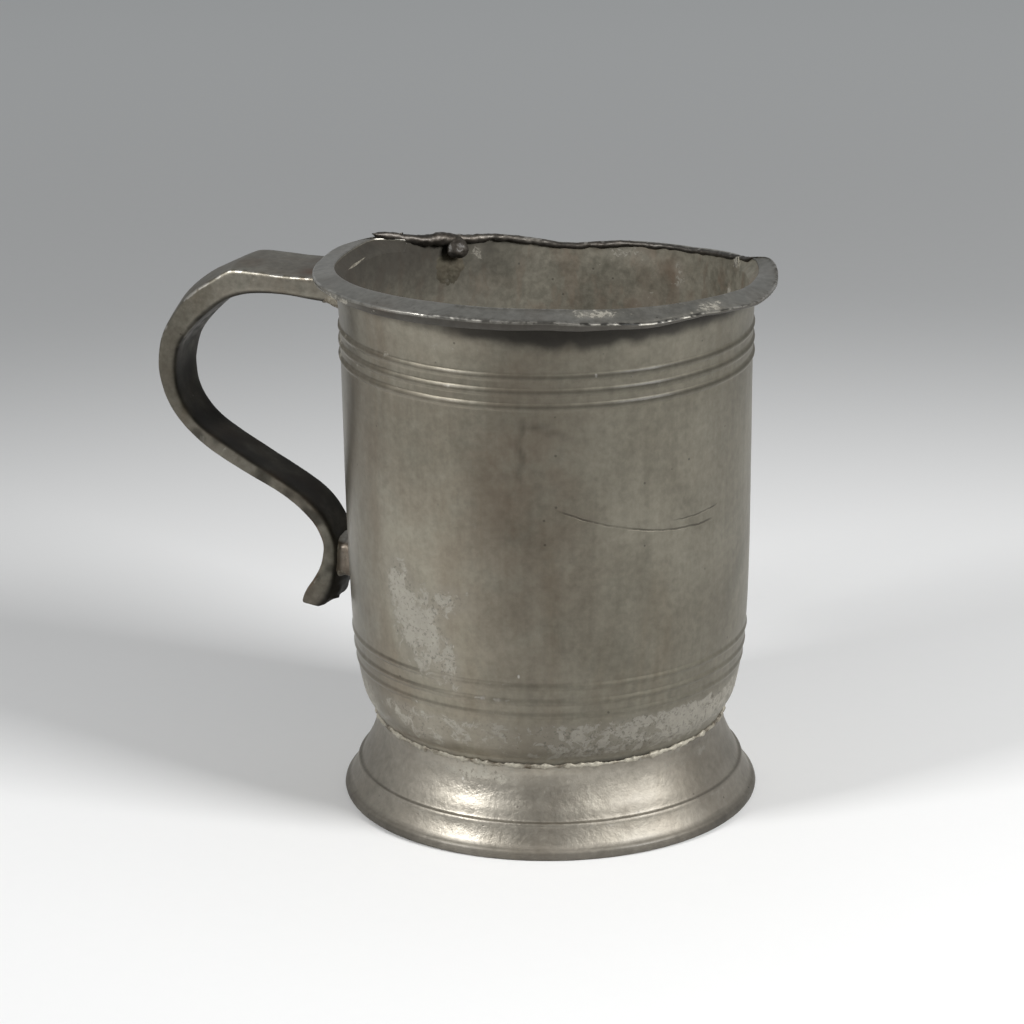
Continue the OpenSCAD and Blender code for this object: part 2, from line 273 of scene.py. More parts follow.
# ------ materials
class Graph:
    """Short names for making the nodes of one tree."""

    def __init__(self, tree):
        self.tree = tree

    def put(self, socket, value):
        """Link or set one input."""
        if isinstance(value, bpy.types.NodeSocket):
            self.tree.links.new(value, socket)
        elif isinstance(value, (tuple, list)) and len(value) == 3 and socket.type == "RGBA":
            socket.default_value = (*value, 1.0)
        else:
            socket.default_value = value

    def node(self, kind, **inputs):
        """New node, with its inputs put by name."""
        node = self.tree.nodes.new("ShaderNode" + kind)
        for name, value in inputs.items():
            self.put(node.inputs[name.replace("_", " ")], value)
        return node

    def attribute(self, name):
        node = self.node("Attribute")
        node.attribute_name = name
        return node.outputs

    def position(self, seed):
        """Object coordinates in millimetres, moved by seed."""
        coords = self.node("TexCoord").outputs["Object"]
        return self.scaled(coords, (1 / MM,) * 3, (seed, -seed, 2 * seed))

    def scaled(self, vector, scale, offset=(0, 0, 0)):
        return self.node("Mapping", Vector=vector, Scale=scale, Location=offset).outputs["Vector"]

    def noise(self, vector, pitch, detail=4.0, rough=0.55, twist=0.0):
        node = self.node("TexNoise", Vector=vector, Scale=1.0 / pitch, Detail=detail)
        self.put(node.inputs["Roughness"], rough)
        self.put(node.inputs["Distortion"], twist)
        return node.outputs["Fac"]

    def cells(self, vector, pitch):
        """Distance to the nearest cell's middle and that cell's random colour."""
        node = self.node("TexVoronoi", Vector=vector, Scale=1.0 / pitch)
        return node.outputs["Distance"], node.outputs["Color"]

    def ramp(self, value, low, high, to_low=0.0, to_high=1.0):
        node = self.node("MapRange", Value=value, From_Min=low, From_Max=high, To_Min=to_low, To_Max=to_high)
        node.interpolation_type = "SMOOTHSTEP"
        return node.outputs["Result"]

    def math(self, kind, a, b=0.0, c=0.0, clamp=False):
        node = self.node("Math")
        node.operation = kind
        node.use_clamp = clamp
        for socket, value in zip(node.inputs, (a, b, c)):
            self.put(socket, value)
        return node.outputs["Value"]

    def times(self, a, b):
        return self.math("MULTIPLY", a, b)

    def total(self, *terms):
        """Weighted sum of (weight, socket) terms."""
        value = 0.0
        for weight, socket in terms:
            value = self.math("MULTIPLY_ADD", socket, weight, value)
        return value

    def mix(self, factor, a, b, blend="MIX"):
        node = self.node("Mix")
        node.data_type = "RGBA"
        node.blend_type = blend
        for index, value in ((0, factor), (6, a), (7, b)):
            self.put(node.inputs[index], value)
        return node.outputs[2]

    def dot(self, vector, direction):
        node = self.node("VectorMath")
        node.operation = "DOT_PRODUCT"
        self.put(node.inputs[0], vector)
        self.put(node.inputs[1], direction)
        return node.outputs["Value"]

    def split(self, color):
        node = self.node("SeparateColor", Color=color)
        return node.outputs["Red"], node.outputs["Green"], node.outputs["Blue"]

    def grey(self, value):
        return self.node("CombineColor", Red=value, Green=value, Blue=value).outputs["Color"]

    def marks(self):
        """The four marks painted on the mesh: rubbing with painted highlights, pale corrosion, dirt with
        painted shade, warm tint.
        """
        painted = self.attribute("marks")
        return (*self.split(painted["Color"]), painted["Alpha"])

    def tone(self):
        """Painted light and shade on the mesh, with some tarnish: below 1 darker and duller, above 1 lighter
        and glossier.
        """
        return self.attribute("tone")["Fac"]

    def relief(self, height, depth, strength=1.0, normal=None):
        """Bump of a depth in millimetres, on top of another's normal if one is given."""
        node = self.node("Bump", Strength=strength, Distance=depth * MM, Height=height)
        if normal is not None:
            self.put(node.inputs["Normal"], normal)
        return node.outputs["Normal"]


class Surface(Graph):
    """The nodes of one material, round its shader."""

    def __init__(self, name):
        self.material = bpy.data.materials.new(name)
        self.material.use_nodes = True
        super().__init__(self.material.node_tree)
        self.tree.nodes.clear()
        self.shader = self.node("BsdfPrincipled")
        self.put(self.node("OutputMaterial").inputs["Surface"], self.shader.outputs["BSDF"])

    def finish(self, color, rough, metal, normal):
        inputs = {"Base Color": color, "Roughness": rough, "Metallic": metal, "Normal": normal}
        for name, value in inputs.items():
            self.put(self.shader.inputs[name], value)
        return self.material


# The second colour below darkens both dirt and painted shade
RUST, GRIME_AND_SHADE = (0.17, 0.095, 0.055), (0.035, 0.03, 0.024)
# The first colour below lightens both rubbed metal and painted highlights
BARE_METAL_AND_HIGHLIGHT, NICK = (0.5, 0.48, 0.435), (0.6, 0.58, 0.53)
HAZE, FLAKE_DARK, FLAKE_LIGHT = (0.30, 0.28, 0.235), (0.25, 0.235, 0.195), (0.42, 0.395, 0.335)
SPECK, PIT, SCRATCH = (0.08, 0.07, 0.055), (0.04, 0.035, 0.028), (0.035, 0.026, 0.02)
# Share of the cells that hold a pit, and its depth in millimetres
PIT_SHARE, PIT_DEPTH = 0.1, 0.03
# The drum's long scratches: (azimuth and height of the lowest point, bend, first and last azimuth, width)
SCRATCHES = [(-24.0, 70.8, 0.00369, -72.0, -19.0, 0.26), (-29.0, 73.0, 0.006, -37.0, -17.0, 0.2)]
# How far noise moves the scratches up, at most
SCRATCH_SWAY = 0.7


def scratch_lines(graph):
    """1 in a scratch of the drum, 0 outside."""
    coords = graph.position(0.0)
    x, y, z = (graph.node("SeparateXYZ", Vector=coords).outputs[axis] for axis in "XYZ")
    azimuth = graph.times(graph.math("ARCTAN2", y, x), 180 / math.pi)
    height = graph.math("MULTIPLY_ADD", graph.noise(coords, 3.0, 3.0), SCRATCH_SWAY, z)
    lines = 0.0
    for mid_a, low_z, bend, from_a, to_a, width in SCRATCHES:
        away = graph.math("SUBTRACT", azimuth, mid_a)
        path = graph.math("MULTIPLY_ADD", graph.times(away, away), bend, low_z)
        gap = graph.math("SUBTRACT", graph.math("SUBTRACT", height, path), SCRATCH_SWAY / 2)
        near = graph.ramp(graph.math("ABSOLUTE", gap), width * 0.35, width * 1.4, 1.0, 0.0)
        begun = graph.ramp(azimuth, from_a, from_a + 6.0)
        ended = graph.ramp(azimuth, to_a - 3.0, to_a, 1.0, 0.0)
        lines = graph.math("MAXIMUM", lines, graph.times(near, graph.times(begun, ended)))
    return graph.times(lines, graph.ramp(graph.noise(coords, 6.0, 4.0), 0.3, 0.6, 0.35, 1.0))


def pewter(
    name, seed, light=(0.25, 0.23, 0.195), dark=(0.125, 0.112, 0.09), brown=(0.165, 0.125, 0.085),
    brown_share=0.5, rough=0.42, grain=0.8, grain_depth=0.035, streak=0.15, blotch=0.15, metal=0.97, coat=0.2,
    scratches=False, brown_pitch=13.0, brown_from=0.47, brown_to=0.68, brown_tall=0.45, flake=3.2, mottle=1.0,
):
    """Old tarnished pewter: mottled grey and brown, streaked, with rubbed, corroded and dirty marks, and the
    painted highlights and painted light and shade that the marks carry.
    """
    graph = Surface(name)
    ramp, mix, times, total = graph.ramp, graph.mix, graph.times, graph.total
    mm = graph.position(seed)
    broad = graph.noise(mm, 34.0, 5.0, 0.6, 0.8)
    middle = graph.noise(mm, 9.0, 6.0, 0.62)
    fine = graph.noise(mm, 1.7, 5.0, 0.62)
    micro = graph.noise(mm, grain, 3.0, 0.6)
    drawn = graph.noise(graph.scaled(mm, (0.34, 0.34, 0.03)), 1.0, 5.0, 0.6)
    wear_and_highlight, pale, grime_and_shade, warm = graph.marks()
    tone = graph.tone()

    def tint(amount, share, over):
        return mix(times(amount, share), color, over)

    def ragged(mark, texture, weight, low, high):
        """The mark, with its edge broken up by a texture."""
        broken = graph.math("MULTIPLY_ADD", texture, weight, -weight / 2)
        return ramp(graph.math("ADD", mark, broken), low, high)

    spots = 0.25 * mottle
    even = 1 - streak - blotch - spots
    shade = total((even, broad), (blotch, middle), (streak, drawn), (spots, fine))
    color = mix(ramp(shade, 0.34, 0.66), dark, light)
    browned = graph.noise(graph.scaled(mm, (1, 1, brown_tall), (31, 7, 3)), brown_pitch, 6.0, 0.6, 0.5)
    color = tint(ramp(browned, brown_from, brown_to), brown_share, brown)
    speckle = total((0.6, fine), (0.4, micro))
    speckle = ramp(speckle, 0.3, 0.7, 1 - 0.14 * mottle, 1 + 0.12 * mottle)
    color = mix(1.0, color, graph.grey(speckle), "MULTIPLY")
    color = tint(warm, ramp(middle, 0.3, 0.62, 0.3, 1.0), RUST)
    # dark patina in recesses, and painted shade where the marks put it: under the lip and on its underside,
    # inside the mouth, under the melted metal and on the handle's inner face
    grime_and_shade_mask = ragged(grime_and_shade, middle, 0.7, 0.2, 1.0)
    color = tint(grime_and_shade_mask, 0.85, GRIME_AND_SHADE)
    # bright rubbed metal on edges and crests, and painted highlights where the marks put them: along the
    # lip's crease and edge, high on the foot and on top of the melted metal
    rub = total((0.9, fine), (0.5, middle))
    worn_and_highlit = ramp(graph.math("ADD", wear_and_highlight, graph.math("SUBTRACT", rub, 0.7)), 0.3, 0.75)
    color = tint(worn_and_highlit, 0.85, BARE_METAL_AND_HIGHLIGHT)
    # pale flaky corrosion in a haze, with dark specks
    flaked = ragged(pale, graph.noise(mm, flake, 8.0, 0.7, 0.6), 2.2, 0.46, 0.6)
    hazed = ragged(pale, middle, 0.8, 0.1, 0.7)
    color = tint(hazed, 0.5, HAZE)
    color = tint(flaked, 0.85, mix(fine, FLAKE_DARK, FLAKE_LIGHT))
    color = tint(times(ramp(micro, 0.55, 0.63), ramp(hazed, 0.3, 0.9)), 0.42, SPECK)
    # dark pits and a few bright nicks
    pit_gap, pit_id = graph.cells(mm, 2.3)
    picked = ramp(graph.split(pit_id)[0], 1 - PIT_SHARE, 1.02 - PIT_SHARE)
    pits = times(ramp(pit_gap, 0.07, 0.16, 1.0, 0.0), picked)
    color = tint(pits, 0.5, PIT)
    nick_gap, nick_id = graph.cells(graph.scaled(mm, (1, 1, 0.6), (11, 5, 8)), 4.5)
    picked = ramp(graph.split(nick_id)[1], 0.86, 0.88)
    color = tint(times(ramp(nick_gap, 0.03, 0.08, 1.0, 0.0), picked), 0.8, NICK)
    normal = graph.relief(total((0.45, fine), (0.35, micro), (0.8, middle)), grain_depth)
    normal = graph.relief(pits, -PIT_DEPTH, 1.0, normal)
    normal = graph.relief(flaked, 0.02, 0.8, normal)
    if scratches:
        lines = scratch_lines(graph)
        color = tint(lines, 0.6, SCRATCH)
        normal = graph.relief(lines, -0.08, 1.0, normal)
    # Painted light and shade, with some darker tarnish: the fifth value darkens the colour below 1 and
    # lightens it above 1, and below 1 the surface is also rougher
    color = mix(1.0, color, graph.grey(tone), "MULTIPLY")
    crusted = ((0.18, flaked), (0.12, hazed), (-0.1, worn_and_highlit), (0.18, grime_and_shade_mask))
    dull = total((0.08, middle), (0.12, micro), *crusted, (-0.65, tone))
    dull = graph.math("ADD", dull, rough + 0.55, clamp=True)
    tarnish = total((-0.5, flaked), (-0.25, hazed), (-0.3, grime_and_shade_mask))
    graph.shader.inputs["Coat Weight"].default_value = coat
    graph.shader.inputs["Coat Roughness"].default_value = 0.3
    return graph.finish(color, dull, graph.math("ADD", tarnish, metal, clamp=True), normal)


def old_solder(name, seed, light=(0.44, 0.42, 0.35), dark=(0.12, 0.105, 0.08)):
    """Crusty old solder: pale yellowish grey crust over dark metal."""
    graph = Surface(name)
    ramp, mix, times, total = graph.ramp, graph.mix, graph.times, graph.total
    mm = graph.position(seed)
    broad = graph.noise(mm, 7.0, 6.0, 0.65, 0.5)
    fine = graph.noise(mm, 0.9, 6.0, 0.7)
    wear_and_highlight, pale, grime_and_shade, warm = graph.marks()
    crusted = ramp(total((0.5, broad), (0.5, fine), (0.35, pale), (-0.4, grime_and_shade)), 0.36, 0.7)
    color = mix(crusted, dark, light)
    color = mix(times(warm, 0.7), color, (0.2, 0.11, 0.05))
    shine = ramp(graph.math("ADD", wear_and_highlight, graph.math("SUBTRACT", fine, 0.5)), 0.4, 0.7)
    color = mix(shine, color, (0.6, 0.58, 0.52))
    rough = ramp(graph.math("SUBTRACT", fine, times(shine, 0.5)), 0.0, 1.0, 0.3, 0.85)
    metal = graph.math("MULTIPLY_ADD", crusted, -0.45, 0.9, clamp=True)
    return graph.finish(color, rough, metal, graph.relief(total((0.6, fine), (0.5, broad)), 0.09))


DRUM_PEWTER = pewter(
    "drum_pewter", 3.0, light=(0.335, 0.315, 0.253), dark=(0.21, 0.195, 0.153), brown=(0.21, 0.178, 0.128),
    rough=0.4, blotch=0.08, streak=0.2, grain_depth=0.03, mottle=0.65, brown_tall=0.18, flake=2.8,
    scratches=True,
)
INSIDE_PEWTER = pewter(
    "inside_pewter", 5.0, light=(0.31, 0.288, 0.232), dark=(0.155, 0.145, 0.112), brown=(0.235, 0.192, 0.145),
    rough=0.62, metal=0.5, streak=0.05, blotch=0.3, coat=0.0, brown_pitch=5.0, brown_from=0.5, brown_to=0.6,
    flake=1.6,
)
FOOT_PEWTER = pewter(
    "foot_pewter", 17.0, light=(0.45, 0.42, 0.36), dark=(0.32, 0.295, 0.245), brown=(0.28, 0.245, 0.19),
    brown_share=0.25, rough=0.46, grain_depth=0.19, streak=0.1, coat=0.25, mottle=0.7,
)
LIP_PEWTER = pewter(
    "lip_pewter", 41.0, light=(0.36, 0.345, 0.31), dark=(0.24, 0.23, 0.2), brown_share=0.2, rough=0.4,
    streak=0.0, flake=1.2,
)
HANDLE_PEWTER = pewter(
    "handle_pewter", 59.0, light=(0.29, 0.275, 0.23), dark=(0.17, 0.158, 0.125), brown_share=0.55, rough=0.45,
    grain_depth=0.03, streak=0.05, blotch=0.08, coat=0.15,
)
FLOOR_PEWTER = pewter("floor_pewter", 73.0, light=(0.22, 0.2, 0.165), brown_share=0.6, rough=0.5)
STRUT_PEWTER = pewter("strut_pewter", 91.0, light=(0.32, 0.30, 0.25), grain_depth=0.03)
MELTED_PEWTER = pewter(
    "melted_pewter", 107.0, light=(0.16, 0.155, 0.14), dark=(0.045, 0.042, 0.037), brown_share=0.15,
    rough=0.5, grain=0.9, grain_depth=0.16, streak=0.0, blotch=0.3,
)
PATCH_PEWTER = pewter(
    "patch_pewter", 131.0, light=(0.21, 0.2, 0.15), dark=(0.1, 0.095, 0.068), brown=(0.17, 0.13, 0.09),
    rough=0.6, grain_depth=0.06, metal=0.6, coat=0.0, flake=0.9,
)
SOLDER = old_solder("old_solder", 151.0)


# ------ drum
WALL_LINE = [(z, r) for r, z in curve(WALL, 10)]


def wall_r(z):
    return lookup(WALL_LINE, z)


def reeded_r(z):
    """Outer radius of the drum at height z, with the reeding."""
    r = wall_r(z)
    for middle, reed_z in UPPER_REEDS + LOWER_REEDS:
        gap = abs(z - reed_z)
        if gap < REED_R:
            bead = middle + math.sqrt(REED_R ** 2 - gap ** 2)
            blend = 0.18
            h = max(blend - abs(bead - r), 0.0) / blend
            r = max(r, bead) + h * h * blend / 4
    return r


def reed_crest(z):
    return max(bell(z, reed_z + 0.25, 0.5) for _, reed_z in UPPER_REEDS + LOWER_REEDS)


def rim_at(a):
    """Height of the rim, or of the lip's crease, at azimuth a."""
    return eased(RIM, a % 360, 2.5)


def rim_top(a):
    """Height where the drum's wall ends: under the collar, or at the melted edge."""
    b = a if a > LIP_TO - 360 - 1 else a + 360
    under_collar = min(step(b, LIP_FROM - 0.5, LIP_FROM + 1.5), step(-b, -LIP_TO - 0.5, -LIP_TO + 1.5))
    melted = min(lookup(ROLL, a, 2) - lookup(ROLL, a, 3), rim_at(a) + 0.3) if 20 < a < 163 else rim_at(a)
    return under_collar * (rim_at(a) - COLLAR_H) + (1 - under_collar) * melted


def inner_wobble(p):
    """Unevenness of the drum's inner face, strongest on the melted side."""
    ragged = 0.25 + 0.75 * (1 - min(abs(turn_gap(math.degrees(math.atan2(p[1], p[0])), 88)) / 70, 1))
    return 0.2 * lumps(p, 24, 4) + 0.12 * ragged * lumps(p, 6, 5) + 0.05 * ragged * lumps(p, 2.2, 6)


def drum_marks(a, z, outside, top):
    """The marks at a point of the drum: rubbing, pale corrosion, dirt with painted shade, warm tint, then
    painted light and shade with some tarnish.
    """
    p = polar(44, a, z)

    def spot(*where):
        return patch(a, z, *where)

    if not outside:
        left = 0.5 + 0.5 * math.cos(math.radians(a - 185))
        warm = 0.3 * (1 - left) * step(lumps(p, 4.5, 5), 0.1, 0.5) + 0.5 * spot(68, 108.5, 4.5, 3.5)
        warm += 0.3 * spot(75, 101, 6, 4)
        warm += 0.35 * spot(44, 108, 5, 7) * step(lumps(p, 2.5, 8), 0, 0.3)
        pale = 0.08 + 0.2 * (1 - left) * step(lumps(p, 2.6, 15), 0.1, 0.5)
        pale += 0.24 * spot(76, 100.5, 5, 4)
        pale += 0.4 * spot(84, 111.5, 9, 1.8) + 0.4 * spot(64.5, 107.5, 2, 4)
        pale += 0.3 * spot(41, 108, 3.5, 7) * step(lumps(p, 2.2, 9), -0.1, 0.3)
        pale += 0.4 * spot(129, 111, 2.5, 3) + 0.6 * spot(36.8, 115.9, 2.4, 1.6)
        # Painted shade on the upper left of the inside; darker towards the bottom
        grime_and_shade = 0.15 + 0.8 * step(left, 0.35, 1) * step(z, 90, 118) + 0.45 * (1 - step(z, 20, 60))
        # The pinhole is only a dark painted spot, painted shade in place of a hole
        grime_and_shade += 3.5 * spot(36.8, 115.9, 1.0, 0.8)
        # Painted shade on the far wall and left side of the inside, painted light on the right
        across = turn_gap(a, 108)
        tone = 1.14 - 0.32 * step(across, -40, 20) * (1 - step(across, 110, 175))
        return (0.0, pale, grime_and_shade, warm, tone)
    gap = turn_gap(a, FRONT_TURN)
    turned_right = step(gap, -10, 25) * (1 - step(gap, 100, 160))
    rubbed = 0.5 * spot(262, 104, 7, 4) + 0.6 * spot(272, 36, 16, 5)
    wear_and_highlight = rubbed * reed_crest(z) * step(lumps(p, 1.5, 4), -0.1, 0.3)
    pale = 0.03 + 0.85 * spot(249, 48, 8, 9) + 0.6 * spot(241, 58, 5.5, 8)
    pale += 0.4 * spot(260, 57, 8, 4) + 0.45 * spot(259, 41, 4.5, 7)
    pale += 0.3 * spot(205, 104, 12, 5)
    band = step(z, 19.5, 22) * (1 - step(z, 28.5, 31.5))
    pale += 0.7 * band * (0.8 + 0.5 * lumps(p, 14, 2)) * (0.75 + 0.25 * turned_right)
    pale += 0.3 * spot(258, 113, 12, 2.2) + 0.12 * step(z, 98, 101) * (1 - step(z, 107, 111))
    pale += 0.1 * spot(244, 104, 10, 5)
    grooves = max(bell(z, groove, 0.4) for groove in (99.1, 102.4, 105.6, 108.9, 30.3, 33.6, 37.0, 40.6))
    grime_and_shade = (0.3 - 0.12 * turned_right) * grooves * (0.7 + 0.5 * lumps(p, 9, 3))
    # Painted shade in a band just under the lip, all round it
    grime_and_shade += 0.5 * step(z, top - 4.5, top - 0.5) * step(a, 150, 160)
    grime_and_shade += 0.7 * (1 - step(z, 19.2, 21.2))
    # Painted shadow, deep and ragged, under the front of the lip
    grime_and_shade += 1.35 * spot(300, 117.8, 38, 4.7) * (1 + 0.5 * lumps(p, 4, 6))
    warm = 0.2 * spot(280, 84, 14, 22) + 0.12 * (0.5 + 0.5 * lumps(p, 22, 8))
    warm += 0.1 * step(gap, -120, -70) * (1 - step(gap, -5, 25))
    # Painted shade: darker round the front and to its right, lighter elsewhere; the reed crests are painted
    # darker and duller, dimming the lamps' highlights on them
    tone = 1.09 - 0.37 * step(gap, -32, -4) * (1 - step(gap, 45, 125))
    tone *= 1 - 0.5 * reed_crest(z) * (0.75 + 0.25 * turned_right) * (0.3 + 0.7 * step(z, 60, 90))
    stain = bell(gap, -7.2 + 0.6 * math.sin(z), 0.9) * step(z, 82, 87) * (1 - step(z, 95, 99))
    stain += 0.7 * bell(z, 97.5 - 0.25 * (gap + 7), 0.9) * step(gap, -8, -6) * (1 - step(gap, 3, 8))
    tone -= 0.2 * stain * (1 + lumps(p, 3, 9))
    return (wear_and_highlight, pale, grime_and_shade, warm, tone)


def make_drum():
    heights = spaced(SEAM_Z, 30.0, 0.6) + spaced(30.0, 41.2, 0.26)[1:] + spaced(41.2, 99.0, 1.25)[1:]
    heights += spaced(99.0, EVEN_TOP, 0.26)[1:]
    stations = [(a, rim_top(a)) for a in turns(400)]
    rows, marks = [], []

    def on_wall(inset, z, rise=0.0):
        return wall_r(z) - inset, z + rise

    def add(outside, place):
        """One more row; place gives its radius and height from the height of the wall's top."""
        row = []
        for a, top in stations:
            r, z = place(top)
            p = polar(r, a, z)
            if outside:
                r += 0.16 * lumps(p, 38, 1) + 0.05 * lumps(p, 11, 2) + 0.012 * lumps(p, 2.5, 3)
                r -= 0.07 * reed_crest(z) * (1 + crust(p, 3.5, 7))
            else:
                r += inner_wobble(p)
            row.append(leaned(r, a, z))
            marks.append(drum_marks(a, z, outside, top))
        rows.append(row)

    for z in heights:
        add(True, lambda top: (reeded_r(z), z))
    for k in range(1, 13):
        add(True, lambda top: on_wall(0, EVEN_TOP + (top - EVEN_TOP) * k / 12))
    for inset, rise in ((0.25, 0.22), (0.8, 0.33), (1.35, 0.22)):
        add(False, lambda top: on_wall(inset, top, rise))
    inner_row = len(rows)
    for drop in (0.0, 0.05):
        add(False, lambda top: on_wall(WALL_T, top - drop))
    for share in spaced(0, 1, 1 / 15)[1:]:
        add(False, lambda top: on_wall(WALL_T, top - (top - RIM_REACH) * share))
    for z in reversed(spaced(24, RIM_REACH - 2.0, 2.0)):
        add(False, lambda top: on_wall(WALL_T, z))
    for r, z in ((38.6, 22.2), (SEAM_IN + 0.4, 21.0), (SEAM_IN, FLOOR_Z - 0.5), (SEAM_IN, SEAM_Z)):
        add(False, lambda top: (r, z))
    return skin(
        "drum_wall", rows, marks, DRUM_PEWTER, ["drum"], closed_rows=True,
        inner=INSIDE_PEWTER, is_inner=lambda row, column: row >= inner_row,
    )


# ------ lip
# Of the points round the lip's section, the first INSIDE_COLUMNS belong to the mouth's inside, and those
# after LAST_ABOVE are on the lip's underside
INSIDE_COLUMNS, LAST_ABOVE = 14, 38


def lip_marks(a, r, z, k, top, edge, thick):
    p = polar(r, a, z)
    under = 1.0 if k > LAST_ABOVE else 0.0
    broken = step(lumps(p, 1.6, 6) + 0.7 * lumps(p, 0.7, 7) + 0.5 * lumps(p, 6, 8), -0.3, 0.35)
    rim_edge = bell(r, lookup(OUTER, a) - 0.25, 0.35) * (1 - under)
    # The rubbed outer edge, with a painted highlight added round azimuth 256, where the left lamp's highlight
    # falls
    wear_and_highlight = rim_edge * (0.55 + 0.35 * bell(a, 256, 16) + 0.35 * lumps(p, 5, 1))
    # A broken painted highlight along the crease from azimuth 263 to about 350
    crease = bell(r, lookup(CREASE, a) + 0.15, 0.22) * step(a, 262.8, 263.6) * (1 - step(a, 345, 352))
    wear_and_highlight += crease * (1.0 - 0.45 * step(a, 284, 292)) * broken * (1 - under)
    pale = 0.08 + (1 - under) * (0.6 * patch(a, r, 300, 46.8, 7, 1.5) + 0.45 * patch(a, r, 333, 47.5, 6, 1.4))
    pale += 0.5 * patch(a, z, 228, edge - thick * 0.6, 12, 0.9) + 0.3 * patch(a, z, 330, edge, 14, 0.5)
    if k < INSIDE_COLUMNS:
        pale, grime_and_shade, warm, tone = drum_marks(a, z, False, top)[1:]
        # Painted shade on the inner flare below the crease
        grime_and_shade += 0.15 * step(z, top - 2.5, top - 1) * (1 - step(z, top - 0.6, top))
        return (wear_and_highlight, pale, grime_and_shade, warm, tone)
    soft = 1 - step(r, lookup(CREASE, a), lookup(CREASE, a) + 1.2)
    # Painted shade on the lip's underside and edge face, deeper past azimuth 205 to 240, and on the flare
    # inside the crease up to azimuth 240 to 262; a little darker round the front
    grime_and_shade = 0.6 * under * step(a, 205, 240) + 0.3 * under + 0.12 * bell(a, 285, 18)
    grime_and_shade += 0.2 * soft * (1 - step(a, 240, 262))
    warm = 0.4 * patch(a, z, 246, edge - thick * 0.5, 4, 1)
    arris = bell(r, lookup(OUTER, a) - 0.2, 0.6) * (1 - under)
    # Painted shade on the outer arris, dimming the lamps' highlight there: in broken gaps past azimuth 246,
    # and round azimuth 312
    tone = 1 - arris * (0.7 * (1 - broken) * step(a, 246, 258) + 0.2 * bell(a, 312, 20))
    return (wear_and_highlight, pale, grime_and_shade, warm, tone)


def lip_section(a):
    """Points round the collar and lip at azimuth a: (radius, height)."""
    top, edge, thick = rim_at(a), eased(EDGE, a, 1.5), eased(EDGE_T, a, 4)
    crease = eased(CREASE, a, 0.5)
    out = eased(OUTER, a, 0.6)
    ridge = 0.26 * step(a, 262.6, 263.6) * (1 - step(a, 345, 355))
    span = max(out - crease, 0.4)
    low = top - COLLAR_H
    base = wall_r(low)
    inside = base - WALL_T
    flare = crease - inside
    points = [
        (inside, low), (inside + 0.22 * flare, top - 2.4), (inside + 0.52 * flare, top - 1.75),
        (inside + 0.78 * flare, top - 1.1), (inside + 0.93 * flare, top - 0.5),
        (crease - 0.08, top - 0.1 + ridge), (crease + 0.22, top + 0.05 + ridge),
        (crease + 0.16 * span, top - 0.02), (crease + 0.45 * span, top + (edge - top) * 0.4),
        (crease + 0.75 * span, top + (edge - top) * 0.78 - 0.03),
        (out - 0.65, edge - 0.02), (out - 0.28, edge - 0.08), (out - 0.06, edge - 0.3),
        (out, edge - 0.5 * thick), (out - 0.08, edge - 0.85 * thick), (out - 0.4, edge - thick),
        (out - 0.35 * span, top + (edge - top) * 0.62 - 0.85 * thick - 0.2),
        (max(out - 0.68 * span, base + 0.9), top - 1.45),
        (min(base + 0.55, out - 0.3), top - 1.9), (base + 0.15, top - 2.4), (base, low), (base - 0.8, low),
    ]
    line = curve(points, 3)
    return line[:1] + [(inside, low + 0.05)] + line[1:]


def make_lip():
    stations = spaced(LIP_FROM, LIP_TO, 0.55)
    rows, marks = [], []
    for a in stations:
        section = lip_section(a)
        row = []
        for k, (r, z) in enumerate(section):
            p = polar(r, a, z)
            outer = step(r, 45.5, 49.5)
            right = step(a, 318, 334)
            z += outer * (0.10 * lumps(p, 9, 1) + 0.04 * lumps(p, 3, 2)) * (1 + 0.8 * right)
            r += outer * (0.12 * lumps(p, 7, 3) + 0.04 * lumps(p, 2.4, 4)) * (1 + 0.5 * right)
            if k < INSIDE_COLUMNS:
                r += inner_wobble(p) * (1 - k / INSIDE_COLUMNS)
            row.append(polar(min(r, LIP_R + 0.15), a, z))
            marks.append(lip_marks(a, r, z, k, rim_at(a), eased(EDGE, a, 1.5), eased(EDGE_T, a, 4)))
        rows.append(row)
    return skin(
        "turned_lip", rows, marks, LIP_PEWTER, ["lip"],
        inner=INSIDE_PEWTER, is_inner=lambda row, column: column < INSIDE_COLUMNS and row < len(rows) - 1,
    )


# ------ melted metal
def make_roll():
    """Thick, dark, lumpy edge where the lip melted away."""
    rows, marks = [], []
    first, last = ROLL[0][0], ROLL[-1][0]
    for a in spaced(first, last, 0.45):
        radius, crest, half = (eased(ROLL, a, 1.2, c) for c in (1, 2, 3))
        radius -= 0.6 * step(a, 36, 44) * (1 - step(a, 118, 128))
        end = step(a, first - 0.5, first + 2) * (1 - step(a, last - 1.5, last + 0.3))
        half *= max(end, 0.12)
        half *= (1.5 - 0.5 * step(a, 120, 134)) * (1 + 0.26 * lumps(polar(radius, a, crest), 2.6, 1))
        middle = crest - half
        row = []
        for t in angles(20):
            r, z = radius + 1.05 * half * math.cos(t), middle + half * math.sin(t)
            p = polar(r, a, z)
            swell = 0.22 * crust(p, 1.5, 2) * min(half, 0.9)
            row.append(polar(r + swell * math.cos(t), a, z + swell * math.sin(t)))
            up = math.sin(t)
            # Rubbed specks with painted highlights on top of the roll; painted shade on its underside
            wear_and_highlight = 0.6 * step(up, 0.3, 0.9) * step(lumps(p, 1.3, 4), 0.1, 0.4) * (1 - step(a, 140, 146))
            marks.append((wear_and_highlight, 0.15 * (1 - step(a, 120, 135)), 0.25 + 0.5 * step(-up, -0.2, 0.6), 0.1))
        rows.append(row)
    return skin("melted_roll", rows, marks, MELTED_PEWTER, ["rim_roll"])


